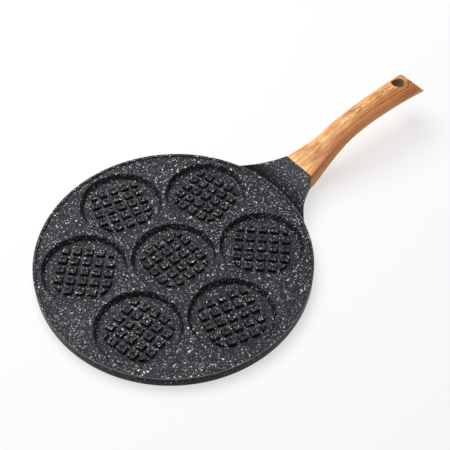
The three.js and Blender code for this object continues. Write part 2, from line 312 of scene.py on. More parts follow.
def well_patches():
    """One well about its own middle, its floor at height 0: the cells of the stud field and the
    ring from the field's edge over the floor and up the wall to the deck."""
    reach = (studs_per_row - 1) // 2
    patches = []
    clipped, edge = stud_cell(True, np.array([reach, reach]) * stud_pitch)
    whole, _ = stud_cell(False, np.zeros(2))
    for corner in range(4):
        patches.append(moved(clipped, corner * math.pi / 2, 0, 0, 0))
    for row in range(-reach, reach + 1):
        for column in range(-reach, reach + 1):
            if abs(row) + abs(column) < 2 * reach:
                patches.append(moved(whole, 0, row * stud_pitch, column * stud_pitch, 0))
    arc = edge[: 2 * len(side_shares)]
    middles = np.arange(reach - 1, -reach, -1) * stud_pitch
    across = (middles[:, None] - side_shares * stud_pitch / 2).reshape(-1)
    top = np.stack([across, np.full(len(across), (reach + 0.5) * stud_pitch)], -1)
    quarter = np.vstack([arc, top])
    quarter_turn = np.array([[0, 1], [-1, 0]])
    loop = np.vstack([quarter @ np.linalg.matrix_power(quarter_turn, k) for k in range(4)])
    angles = np.arctan2(loop[:, 1], loop[:, 0])
    profile = rounded_path([
        (well_radius - 2 * well_draft, 0),
        (well_radius - well_draft, 0, well_floor_radius),
        (well_radius, well_depth, well_edge_radius),
        (well_radius + 2 * well_edge_radius, well_depth),
    ], well_arc_steps)
    rings = [np.column_stack([loop, np.zeros(len(loop))])]
    rings += [np.column_stack([circle(r, angles), np.full(len(loop), z)]) for r, z in profile]
    patches.append(ring_surface(np.stack(rings)))
    return patches, circle(well_radius + 2 * well_edge_radius, angles)


def well_places():
    """The middle and the turn of each well's stud grid."""
    places = [(0.0, 0.0, 0.0)]
    for angle in first_well + even_angles(ring_wells):
        x, y = circle(well_ring_radius, np.array([angle]))[0]
        places.append((x, y, angle + stud_field_turn))
    return places


# The steel disc's sizes, which the recess and the rivets under the plate are made to
disc_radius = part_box("induction_disc")[1].x
disc_thickness = 0.6 * mm
disc_hole_radius = 4 * mm
disc_hole_step = 30 * mm
disc_hole_rings = 3
holes_added = 6
recess_depth = disc_thickness + gap
rivet_radius = disc_hole_radius - gap
rivet_sides = 32


def disc_hole_places():
    """Rings of evenly spaced holes, with the same number added in each ring."""
    rings = range(1, disc_hole_rings + 1)
    return np.vstack([circle(ring * disc_hole_step, even_angles(holes_added * ring)) for ring in rings])


def casting_patches():
    """The plate's turned outside, from the deck over the lip and round into the disc's recess, the
    wells in the deck and the rivets in the recess, and the flat faces between them."""
    angles = even_angles(plate_sides)
    crest_inside = pan_radius - lip_width
    foot = crest_inside - lip_draft
    recess_radius = disc_radius + gap
    outside = rounded_path([
        (foot - 2 * support, deck_height),
        (foot - support, deck_height),
        (foot, deck_height, lip_foot_radius),
        (crest_inside, pan_height, lip_edge_radius / 2),
        (pan_radius, pan_height, lip_edge_radius),
        (pan_radius, 0, base_edge_radius),
        (recess_radius + support, 0),
        (recess_radius, 0),
        (recess_radius, recess_depth),
        (recess_radius - support, recess_depth),
    ])
    patches = [turned(outside, angles)]
    well, hole = well_patches()
    holes = []
    for x, y, turn in well_places():
        patches += [moved(patch, turn, x, y, well_floor) for patch in well]
        holes.append(hole @ turn_matrix(turn)[:2, :2] + np.array([x, y]))
    patches.append(flat_between(circle(outside[0, 0], angles), holes, deck_height))

    rivets = disc_hole_places()
    round_rivet = even_angles(rivet_sides)
    side = rounded_path([
        (rivet_radius + support / 2, recess_depth),
        (rivet_radius, recess_depth),
        (rivet_radius, 0, gap / 3),
        (rivet_radius / 2, 0),
    ])
    rivet = turned(side, round_rivet, end=np.zeros(3))
    patches += [moved(rivet, 0, x, y, 0) for x, y in rivets]
    holes = [circle(side[0, 0], round_rivet, x, y) for x, y in rivets]
    patches.append(flat_between(circle(outside[-1, 0], angles), holes, recess_depth))
    return patches


# The neck, part of the casting, from the rim to its seam with the handle
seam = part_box("handle_grip")[0].x - gap
neck_width = 36.3 * mm
neck_thickness = 21.5 * mm
neck_underside = 6.7 * mm
neck_root_underside = 3.4 * mm
neck_root_inset = 1.5 * mm
neck_root_drop = 4 * mm
neck_flare_radius = 86 * mm
neck_edge_radius = 1.3 * mm
neck_rise = 0.85  # the power of the way along with which the top climbs
neck_steps = 40
section_points = 24  # along each side of the neck's section
corner_crowding = 1.6  # above 1 the section's points lie closer together towards its corners


def rounded_box(half_width, half_height, radius, points):
    """A rectangle with round corners, as many points on each side: a point on the square is pulled
    in to the arc wherever it lies past the straight part of both sides."""
    share = np.linspace(-1, 1, points, endpoint=False)
    share = np.sign(share) * (1 - (1 - np.abs(share)) ** corner_crowding)
    square = square_outline(share) * np.array([half_width, half_height])
    core = np.array([half_width - radius, half_height - radius])
    inner = np.clip(square, -core, core)
    away = square - inner
    length = np.linalg.norm(away, axis=-1, keepdims=True)
    never_nothing = np.maximum(length, merge_distance ** 2)
    return inner + away / never_nothing * np.minimum(length, radius)


def neck_patch():
    """The neck from the rim to the seam. Seen from above its sides are arcs that leave the rim
    smoothly. Its top climbs with a power of the way along, and its underside in a straight line."""
    distance = pan_radius + neck_flare_radius
    half_width = neck_width / 2
    reach = math.hypot(seam, half_width)
    share = (reach ** 2 + distance ** 2 - neck_flare_radius ** 2) / (2 * distance * reach)
    bearing = math.atan2(half_width, seam) + math.acos(share)
    x, y = distance * math.cos(bearing), distance * math.sin(bearing)
    start = bearing + math.pi
    end = math.atan2(half_width - y, seam - x) + 2 * math.pi
    inner_radius = pan_radius - neck_root_inset
    inset = inner_radius / pan_radius
    root_x = x + neck_flare_radius * math.cos(start)
    root_y = y + neck_flare_radius * math.sin(start)
    root_top = pan_height - neck_root_drop
    rings = []
    for t in np.linspace(0, 1, neck_steps + 1):
        angle = start + (end - start) * t
        side_x = x + neck_flare_radius * math.cos(angle)
        side_y = y + neck_flare_radius * math.sin(angle)
        top = root_top + (neck_underside + neck_thickness - root_top) * t ** neck_rise
        bottom = neck_root_underside + (neck_underside - neck_root_underside) * t
        outline = rounded_box(side_y, (top - bottom) / 2, neck_edge_radius, section_points)
        across = outline[:, 0] / side_y
        bulge = np.sqrt(inner_radius ** 2 - (across * root_y * inset) ** 2) - root_x * inset
        scale = t + (1 - t) * inset
        ring_x = side_x * scale + (1 - t) * bulge
        rings.append(np.stack([ring_x, outline[:, 0] * scale, outline[:, 1] + (top + bottom) / 2], -1))
    rings = np.stack(rings)
    return ring_surface(rings, rings[0].mean(0), rings[-1].mean(0))


handle_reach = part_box("handle_grip")[1].x - seam
handle_rise = 29.7 * mm
# Seven stations of the handle, as shares of its reach, and how much of its rise each has
along_shares = np.array([0, 0.165, 0.32, 0.48, 0.64, 0.8, 1])
rise_shares = np.array([0, 0.28, 0.71, 0.92, 0.995, 1, 0.95])
seam_height = neck_underside + neck_thickness / 2
# The tang, which follows the handle's first slope, and the hole for the screw
tang_length = 32 * mm
tang_root = 8 * mm
tang_width = 18 * mm
tang_thickness = 7 * mm
tang_raise = 1.5 * mm
tang_tilt = math.atan2(rise_shares[1] * handle_rise, along_shares[1] * handle_reach)
tang_side_points = 8
screw_reach = 17 * mm
screw_radius = 2 * mm
screw_hole_sides = 48


def on_tang(points):
    """Points in the tang's own frame, x along it from the seam, turned up by its slope."""
    c, s = math.cos(tang_tilt), math.sin(tang_tilt)
    return points @ np.array([[c, 0, s], [0, 1, 0], [-s, 0, c]]) + np.array([seam, 0, seam_height])


def tang_bar(growth, root, length):
    """The tang's bar, grown on every side, from behind the seam to its end."""
    ring = rounded_box(tang_width / 2 + growth, tang_thickness / 2 + growth, gap, tang_side_points)
    across, up = ring[:, 0], ring[:, 1] + tang_raise
    rings = np.stack([np.column_stack([np.full(len(ring), x), across, up]) for x in (-root, length)])
    rings = on_tang(rings)
    return ring_surface(rings, rings[0].mean(0), rings[-1].mean(0))


def tang_hole(radius, low, high):
    """A round bar square to the tang at the screw, between two heights of the tang's frame."""
    profile = np.array([[radius, low], [radius, high]])
    ends = np.array([[0, 0, low], [0, 0, high]])
    points, faces = turned(profile, even_angles(screw_hole_sides), *ends)
    return on_tang(points + np.array([screw_reach, 0, 0])), faces


casting = mesh_object("cast_pan", casting_patches())
combine(casting, neck_patch(), "UNION")
combine(casting, tang_bar(0, tang_root, tang_length), "UNION")
combine(casting, tang_hole(screw_radius + gap, -tang_thickness, tang_thickness), "DIFFERENCE")
shade(casting)


def linear(hex_colour):
    """A colour written as sRGB hex, turned to the linear values that a shader takes."""
    parts = [int(hex_colour[i : i + 2], 16) / 255 for i in (1, 3, 5)]
    return [p / 12.92 if p <= 0.04045 else ((p + 0.055) / 1.055) ** 2.4 for p in parts] + [1]


def connect(node, inputs):
    """Inputs of a node, by name or in the order in which it shows them, set to a value or linked to an
    output, or to the first output that a node shows."""
    sockets = [socket for socket in node.inputs if socket.enabled]
    if isinstance(inputs, dict):
        sockets = [node.inputs[name] for name in inputs]
        inputs = inputs.values()
    for socket, value in zip(sockets, inputs):
        if isinstance(value, bpy.types.Node):
            value = next(output for output in value.outputs if output.enabled)
        if isinstance(value, bpy.types.NodeSocket):
            node.id_data.links.new(value, socket)
        else:
            socket.default_value = value


def add_node(tree, kind, inputs=(), operation=None, **settings):
    """A node with its inputs, its operation if it has one, and other settings. A MapRange's inputs are
    the value, the two ends that it comes from and the two that it goes to, 0 and 1 if left out."""
    node = tree.nodes.new("ShaderNode" + kind)
    if operation:
        node.operation = operation
    for name, value in settings.items():
        setattr(node, name, value)
    connect(node, inputs)
    return node


def new_material(name):
    """A material of this name, the function that adds nodes to it, and its Principled shader."""
    material = bpy.data.materials.new(name)
    material.use_nodes = True
    tree = material.node_tree
    return material, partial(add_node, tree), tree.nodes["Principled BSDF"]


def axis_distance(add, place):
    """How far a place is from the pan's upright axis: the length of its x and y."""
    level = add("VectorMath", (place, (1, 1, 0)), "MULTIPLY")
    return add("VectorMath", [level], "LENGTH")


# Charcoal stone-effect PTFE, sprayed on in layers: a near-black ground with grey grit, a mist of grey
# spatter and white flecks of about a millimetre. The lip's sharp outer edge is a lighter grey: partly a
# painted highlight, partly the thin film greyed by the metal. The real grit is finer than a pixel, so it
# is drawn about 1 mm wide.
coat_ground = linear("#08080a")
coat_grit = linear("#595b63")
thin_film_and_highlight = linear("#75777b")
edge_band = 0.6 * mm
grit_size = 1.1 * mm
grit_from, grit_full = 0.36, 0.76  # levels of the noise between which the grit grows dense
grit_contrast = 1.7
# Painted shade, as the share of grit and specks that is kept: least on steep walls, whose normal points up
# by less than wall_up, less in the wells than on the deck, and least of all on the neck behind the lip,
# which the lip shades
wall_up, deck_up = 0.3, 0.9
steep_lit_share = 0.4
low_lit_share = 0.78
lip_shade_share = 0.35
# Over this reach of the neck the painted shade fades out, and a finer mist and fainter specks than on
# the pan come in
mist_reach = 12 * mm
mist_density = 0.11
neck_specks = 0.8
# Cell size, share of cells with a speck, least and greatest radius in cells, colour
spatter_layers = [
    (1.8 * mm, 0.7, 0.2, 0.38, linear("#cfd1da")),
    (3.1 * mm, 0.9, 0.17, 0.3, linear("#ffffff")),
    (7 * mm, 0.75, 0.1, 0.16, linear("#ffffff")),
]
speck_waves = 2.5  # waves per cell of the noise that makes specks uneven
speck_core = 0.85  # the full white part of a speck's radius
speck_contrast = 1.6
faintest_speck = 0.1
peel_size = 1.2 * mm
peel_depth = 0.35 * mm


def stone_coating():
    """Grit is a noise raised to a power. A speck is a round spot in the middle of a Voronoi cell, with
    its size and brightness drawn by lot. Both are thinned by a share that paints shade on steep walls,
    in the wells and on the neck behind the lip. The satin film has the slight orange peel of a sprayed
    coat."""
    material, add, shader = new_material("stone effect PTFE coating, sprayed")
    place = add("TexCoord").outputs["Object"]
    grit = add("TexNoise", {"Vector": place, "Scale": 1 / grit_size, "Detail": 3, "Roughness": 0.6})
    spread = add("MapRange", (grit, grit_from, grit_full))
    grain = add("Math", (spread, grit_contrast), "POWER")
    # Painted shade: grit and specks thin out on steep walls, lower in the wells, and on the neck behind
    # the lip.
    facing = add("SeparateXYZ", [add("NewGeometry").outputs["Normal"]])
    upward = add("Math", [facing.outputs[2]], "ABSOLUTE")
    lit_share = add("MapRange", (upward, wall_up, deck_up, steep_lit_share, 1))
    height = add("SeparateXYZ", [place]).outputs[2]
    depth_shade = add("MapRange", (height, well_floor, deck_height, low_lit_share, 1))
    lit_share = add("Math", (lit_share, depth_shade), "MULTIPLY")
    radius = axis_distance(add, place)
    within = add("Math", (radius, pan_radius + edge_band / 4), "LESS_THAN")
    on_neck = (radius, pan_radius, pan_radius + mist_reach)
    lip_shade = add("MapRange", (*on_neck, lip_shade_share, 1))
    neck_lip_shade = add("Math", (lip_shade, within), "MAXIMUM")
    lit_share = add("Math", (lit_share, neck_lip_shade), "MULTIPLY")
    mist = add("MapRange", (*on_neck, 0, mist_density))
    misted = add("Math", (grain, mist), "ADD")
    shaded_grit = add("Math", (misted, lit_share), "MULTIPLY")
    fainter = add("MapRange", (*on_neck, 1, neck_specks))
    speck_lit_share = add("Math", (lit_share, fainter), "MULTIPLY")
    colour = add("Mix", (shaded_grit, coat_ground, coat_grit), data_type="RGBA")
    for cell, share, least, greatest, tint in spatter_layers:
        wobble = add("TexNoise", {"Vector": place, "Scale": speck_waves / cell, "Detail": 1})
        shift = add("VectorMath", (wobble.outputs["Color"], (cell, cell, cell)), "MULTIPLY")
        shifted = add("VectorMath", (place, shift), "ADD")
        cells = add("TexVoronoi", {"Vector": shifted, "Scale": 1 / cell})
        lot = add("SeparateColor", [cells.outputs["Color"]])
        size = add("MapRange", (lot, 1 - share, 1, least, greatest))
        kept = add("Math", (lot, 1 - share), "GREATER_THAN")
        inner = add("Math", (size, speck_core), "MULTIPLY")
        speck = add("MapRange", (cells.outputs["Distance"], inner, size, 1, 0))
        bright = add("Math", (lot.outputs[1], speck_contrast), "POWER")
        brightness = add("MapRange", (bright, 0, 1, faintest_speck, 1))
        strong = add("Math", (speck, brightness), "MULTIPLY")
        present = add("Math", (strong, kept), "MULTIPLY")
        factor = add("Math", (present, speck_lit_share), "MULTIPLY")
        colour = add("Mix", (factor, colour, tint), data_type="RGBA")
    # Painted highlight on the lip's sharp outer edge, partly the thin film there greyed by the metal.
    outer = add("MapRange", (radius, pan_radius - edge_band, pan_radius - edge_band / 2))
    upper = add("MapRange", (height, pan_height - 2 * edge_band, pan_height - edge_band))
    on_edge = add("Math", (outer, upper), "MULTIPLY")
    edge_film_and_highlight = add("Math", (on_edge, within), "MULTIPLY")
    colour = add("Mix", (edge_film_and_highlight, colour, thin_film_and_highlight), data_type="RGBA")
    peel = add("TexNoise", {"Vector": place, "Scale": 1 / peel_size, "Detail": 2})
    bump = add("Bump", {"Height": peel, "Strength": 0.5, "Distance": peel_depth})
    connect(shader, {
        "Base Color": colour, "Roughness": 0.42, "IOR": 1.35, "Specular IOR Level": 0.14, "Normal": bump})
    return material


casting.data.materials.clear()
casting.data.materials.append(stone_coating())
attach(casting, "root")
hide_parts("pan_body")

# A perforated stainless steel disc, pressed into the base so that the pan works on induction. The
# casting's rivets fill its holes.
disc_sides = 256
disc_edge = 0.12 * mm
steel_dark = linear("#9b9c9e")
steel_pale = linear("#c9cacb")
steel_roughness = (0.28, 0.45)
turning_pitch = 0.8 * mm
turning_depth = 0.05 * mm


def disc_patches():
    """Two flat faces with the same holes, and the round walls of the rim and of each hole."""
    places = disc_hole_places()
    around, hole_around = even_angles(disc_sides), even_angles(rivet_sides)
    rim, hole = [rounded_path([
        (radius - side * 2 * disc_edge, 0),
        (radius, 0, disc_edge),
        (radius, disc_thickness, disc_edge),
        (radius - side * 2 * disc_edge, disc_thickness),
    ]) for radius, side in ((disc_radius, 1), (disc_hole_radius, -1))]
    patches = [turned(rim, around)]
    patches += [moved(turned(hole, hole_around), 0, x, y, 0) for x, y in places]
    loops = [circle(hole[0, 0], hole_around, x, y) for x, y in places]
    for height in (0, disc_thickness):
        patches.append(flat_between(circle(rim[0, 0], around), loops, height))
    return patches


def turned_steel():
    """Fine rings that the turning tool left: a noise of the distance from the axis alone, which sets
    the steel's grey, its roughness and its relief, so that the disc shines in a fan."""
    material, add, shader = new_material("stainless steel, turned")
    radius = axis_distance(add, add("TexCoord").outputs["Object"])
    rings = add("TexNoise", {"W": radius, "Scale": 1 / turning_pitch, "Detail": 4}, noise_dimensions="1D")
    colour = add("Mix", (rings, steel_dark, steel_pale), data_type="RGBA")
    rough = add("MapRange", (rings, 0, 1, *steel_roughness))
    bump = add("Bump", {"Height": rings, "Strength": 0.2, "Distance": turning_depth})
    connect(shader, {"Base Color": colour, "Metallic": 1, "Roughness": rough, "Normal": bump})
    return material


disc = mesh_object("steel_disc", disc_patches())
shade(disc)
disc.data.materials.append(turned_steel())
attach(disc, "root")
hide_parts("induction_disc")

# The handle is moulded phenolic with a printed wood-grain film: an oblong section at the neck that
# grows round and slim, a hanging eye with a rounded rim, and an end cut off at a slant.
tip_slant = math.radians(42.6)
slant_start = 0.55  # share of the reach at which the rings begin to lean back
lean_rounds = 30
handle_rings = 170
handle_sides = 112
section_samples = 2001
# Sizes at the stations, and the section's power as a share of that at the seam
half_widths = np.array([18.15, 14.1, 12.4, 12.2, 12.9, 13.4, 14.3]) * mm
half_thicknesses = np.array([10.75, 10.9, 10.7, 10.6, 11, 11.6, 12.2]) * mm
squareness_shares = np.array([1, 0.36, 0.24, 0.2, 0.18, 0.175, 0.18])
seam_squareness = 12
end_edge_radius = 1.0 * mm
end_edge_clear = 1.3 * end_edge_radius
end_edge_rings = 5
seam_edge_radius = 0.3 * mm
seam_edge_rings = 3
eye_radius = 6.6 * mm
eye_across = 1.7 * mm
eye_reach = handle_reach - 34.2 * mm
eye_rim_radius = 2 * mm
eye_rim_rings = 7
eye_sides = 72
bore_wall = 2 * mm
counterbore_radius = 5.2 * mm


def along(values, share):
    """A smooth curve through values at the handle's stations: in each stretch the cubic whose slope
    at either end is half the step between that end's two neighbours."""
    last = len(values) - 1
    stretch = np.clip(np.searchsorted(along_shares, share, side="left") - 1, 0, last - 1)
    t = (share - along_shares[stretch]) / (along_shares[stretch + 1] - along_shares[stretch])
    before, low, high = values[np.maximum(stretch - 1, 0)], values[stretch], values[stretch + 1]
    after = values[np.minimum(stretch + 2, last)]
    slope_low, slope_high = (high - before) / 2, (after - low) / 2
    cubic = (2 * low - 2 * high + slope_low + slope_high) * t ** 3
    return cubic + (3 * high - 3 * low - 2 * slope_low - slope_high) * t ** 2 + slope_low * t + low


def centre_height(share):
    """Height of the handle's middle line: the seam's, and the rise times its share at that station."""
    return seam_height + handle_rise * along(rise_shares, share)


def handle_point(share, angle):
    """Across and up of a point of the section: a superellipse, whose power falls from nearly an
    oblong at the seam to a rounded form."""
    power = 2 / (seam_squareness * along(squareness_shares, share))
    across = np.sign(np.cos(angle)) * np.abs(np.cos(angle)) ** power
    up = np.sign(np.sin(angle)) * np.abs(np.sin(angle)) ** power
    return across * along(half_widths, share), centre_height(share) + up * along(half_thicknesses, share)


def even_section():
    """Angles at which the section's points are about evenly spaced, the corners included."""
    angle = np.linspace(0, math.pi / 2, section_samples)
    steps = np.zeros_like(angle)
    for share in (0.0, 1.0):
        y, z = handle_point(np.full_like(angle, share), angle)
        length = np.concatenate([[0], np.cumsum(np.hypot(np.diff(y), np.diff(z)))])
        steps += length / length[-1] / 2
    quarter = np.interp(np.arange(handle_sides // 4) / (handle_sides // 4), steps, angle)
    return np.concatenate([quarter + k * math.pi / 2 for k in range(4)])


def rolled_in(ring, outward, radius, angle):
    """A ring of a rounded edge: moved outwards by the radius times the angle's sine, and in towards
    its middle by the radius times one minus the cosine."""
    middle = ring.mean(0)
    away = ring - middle
    length = np.linalg.norm(away, axis=-1, keepdims=True)
    inward = away / length * radius * (1 - math.cos(angle))
    return ring - inward + outward * radius * math.sin(angle)


def handle_patch():
    """The handle's skin. Each ring lies in a plane that leans back more and more towards the end,
    so the last one lies in the slanted end face. The ends are rounded over and closed."""
    angles = even_section()
    tip_height = centre_height(1.0) - along(half_thicknesses, np.array(1.0))
    rings = []
    for share in np.linspace(0, 1, handle_rings):
        lean = np.tan(tip_slant) * np.clip((share - slant_start) / (1 - slant_start), 0, 1) ** 2
        x = np.full(handle_sides, share)
        for _ in range(lean_rounds):
            y, z = handle_point(np.clip(x, 0, 1), angles)
            x = share - (z - tip_height) * lean / handle_reach
        rings.append(np.stack([seam + gap + x * (handle_reach - gap), y, z], -1))
    rings = np.stack(rings)
    normal = np.array([math.cos(tip_slant), 0, math.sin(tip_slant)])
    end, start = rings[-1] - normal * end_edge_radius, rings[0] + np.array([seam_edge_radius, 0, 0])
    body = rings[1:-1]
    depth = (rings[-1].mean(0) - body) @ normal
    body = body[(depth > end_edge_clear).all(1)]
    over, back = np.linspace(0, math.pi / 2, end_edge_rings), np.linspace(math.pi / 2, 0, seam_edge_rings)
    tail = [rolled_in(end, normal, end_edge_radius, angle) for angle in over]
    nose = [rolled_in(start, np.array([-1, 0, 0]), seam_edge_radius, angle) for angle in back]
    all_rings = np.concatenate([np.stack(nose), body, np.stack(tail)])
    return ring_surface(all_rings, all_rings[0].mean(0), all_rings[-1].mean(0))


def eye_cutter():
    """What the hanging eye takes away: a round bar that flares at both ends like a trumpet, so that
    its rim rolls over into the handle's curved skin."""
    around = even_angles(eye_sides)
    eye_x = seam + eye_reach
    flare = np.linspace(0, math.pi / 2, eye_rim_rings)
    out = eye_radius + eye_rim_radius * (1 - np.cos(flare))
    sink = eye_rim_radius * (1 - np.sin(flare))
    rings = []
    for side in (-1, 1):
        rows = []
        for r, d in zip([*out, out[-1] + eye_rim_radius / 2], [*sink, -eye_rim_radius / 2]):
            x, y = circle(r, around, eye_x, eye_across).T
            share = (x - seam) / handle_reach
            power = seam_squareness * along(squareness_shares, share)
            width, thick = along(half_widths, share), along(half_thicknesses, share)
            up = (1 - np.minimum(np.abs(y) / width, 1) ** power) ** (1 / power) * thick
            rows.append(np.stack([x, y, centre_height(share) + side * (up - d)], -1))
        clear = side * ((side * rows[-1][:, 2]).max() + eye_rim_radius)
        rows.append(np.stack([x, y, np.full(eye_sides, clear)], -1))
        rings += rows[::side]
    rings = np.stack(rings)
    return ring_surface(rings, rings[0].mean(0), rings[-1].mean(0))


bore_floor = tang_raise - tang_thickness / 2 - gap - bore_wall
handle = mesh_object("handle", [handle_patch()])
combine(handle, eye_cutter(), "DIFFERENCE")
combine(handle, tang_bar(gap, tang_root, tang_length + gap), "DIFFERENCE")
combine(handle, tang_hole(screw_radius + gap, bore_floor - gap, tang_raise + tang_thickness), "DIFFERENCE")
combine(handle, tang_hole(counterbore_radius, bore_floor - neck_thickness, bore_floor), "DIFFERENCE")
shade(handle, angle=40)

# The film's print is of a plank cut nearly along the trunk. Growth lines cross the top as narrow arches
# that point to the tip, go round the eye as wide arcs, and run along the sides as long dark streaks.
# Its places are in mm: u from the seam, and the way round the grip from the middle of its top, below
# 0 on the near side.
wood_gold = linear("#fdd898")
wood_pale = linear("#f0b874")
wood_mid = linear("#d8985e")
wood_dark = linear("#b07444")
wood_side = linear("#fda766")
wood_line = linear("#96643e")
bare_phenolic = linear("#7c5a3c")
bare_phenolic_pale = linear("#b8966e")
# Arches on top: where each points, how far its legs run back, its width, and how dark it is
arch_lines = [
    (11, 12, 0.45, 0.4), (15.5, 15, 0.45, 0.6), (19, 12, 0.45, 0.45), (23, 18, 0.55, 0.7),
    (26.5, 14, 0.45, 0.5), (30.5, 18, 0.6, 0.75), (35, 14, 0.45, 0.5), (44, 10, 0.45, 0.35),
    (55, 12, 0.45, 0.35), (64, 12, 0.45, 0.45), (71, 14, 0.5, 0.5), (78, 15, 0.5, 0.6),
    (85.5, 20, 1.1, 0.9), (94, 10, 0.5, 0.5), (102, 12, 0.5, 0.5), (109, 12, 0.5, 0.6),
    (116, 15, 1.1, 0.8), (123, 10, 0.5, 0.6),
]
# Their slope, the radius of their points, and how far off the middle they lie
arch_slope = 3.6
arch_point = 1.3
arch_middle = 1.9
leg_clear = 1 / 3  # the share of a leg that hasn't begun to fade
# Arcs round the eye: how far from its middle, width, how dark, and how far their legs run back. The
# first, hugging the eye's rolled rim, is painted shade of that rim; the others are growth lines.
eye_arcs = [
    (8.8, 0.5, 0.7, 28), (11.3, 0.8, 1.0, 125), (14.4, 0.7, 0.9, 34), (17.4, 0.7, 0.9, 26),
    (20.6, 0.8, 0.8, 22), (24, 0.8, 0.7, 20),
]
leg_full = 2  # short of the eye's middle, where the legs begin to fade
leg_narrowing = 0.02  # how much nearer to the middle the legs run for each mm back
# A line darkens slowly over this many widths before it and clears within this many behind it
line_before, line_behind = 2.5, 0.8
# The section is scaled to a circle of the grip's mean radius. Near the eye it is wider by the stretch.
grip_radius = 11.5
eye_stretch = 1.16
# Noises, in waves per mm along, across and up: two that bend the lines, with how far they shift them
# in mm, then the fibres, which are drawn coarser than the print's, and the clouds
film_waves = [((0.05, 0.12, 0.12), (9, 2.4, 2.4)), ((0.25, 0.5, 0.5), (5, 1.2, 1.2))]
fibre_waves = (0.09, 0.8, 0.8)
cloud_waves = (0.04, 0.2, 0.2)
fibre_contrast = 2.2
cloud_contrast = 1.2
# Tones, each from one place to another and between two values, or from 0 to 1: the painted shade that
# the near and far halves of the top add to fibres and clouds away from the neck, most on the near side;
# then the print's: what the length adds, where the sides' redder tone and streaks begin, and the darker
# tone of the near edge by the neck
near_half_shade = (1, -4, 0, 0.55)
far_half_shade = (2, 6, 0, 0.25)
past_neck_share = (0, 22)
length_tone = (50, 90, -0.26, -0.2)
side_share = (6.5, 11.5)
side_red = 0.8  # the share of the redder colour
edge_tone = (-4, -8, 0, 0.42)
below_edge_share = (-11, -14, 1, 0.2)
by_neck_share = (10, 60, 1, 0)
# How far apart the sides' streaks are, the shares of that between which one darkens and clears, and
# the clouds that carry streaks
streak_spacing = 3.1
streak_rise = (0.4, 0.9)
streak_fall = (0.9, 1, 1, 0)
streak_clouds = (0.4, 0.65, 0, 0.4)
ramp_tones = [(0.3, wood_pale), (0.65, wood_mid)]
bore_start, bore_end = 0.2, 1.5  # how far outside the bore the bare phenolic gives way to the film
film_roughness = (0.5, 0.65)
fibre_depth = 0.1 * mm

points = np.zeros(len(handle.data.vertices) * 3)
handle.data.vertices.foreach_get("co", points)
points = points.reshape(-1, 3)
share = np.clip((points[:, 0] - seam) / handle_reach, 0, 1)
straight = np.column_stack([
    (points[:, 0] - seam) / mm,
    grip_radius * points[:, 1] / along(half_widths, share),
    grip_radius * (points[:, 2] - centre_height(share)) / along(half_thicknesses, share),
])
on_grip = handle.data.attributes.new("straight", "FLOAT_VECTOR", "POINT")
on_grip.data.foreach_set("vector", straight.reshape(-1))


def root_of_sum(add, side, rest):
    """The square root of a side squared plus the rest."""
    square = add("Math", (side, side, rest), "MULTIPLY_ADD")
    return add("Math", (square, 0.5), "POWER")


def with_line(add, lines, field, slope, at, width, dark, fade):
    """The lines with one more, where a field in mm that climbs by slope per mm passes a value."""
    past = add("Math", (field, at), "SUBTRACT")
    way = add("Math", (past, slope), "DIVIDE")
    before = add("MapRange", (way, -line_before * width, 0, 0, dark))
    behind = add("MapRange", (way, 0, line_behind * width, 1, 0))
    mark = add("Math", (before, behind), "MULTIPLY")
    faded = add("Math", (mark, fade), "MULTIPLY")
    return add("Math", (lines, faded), "MAXIMUM")


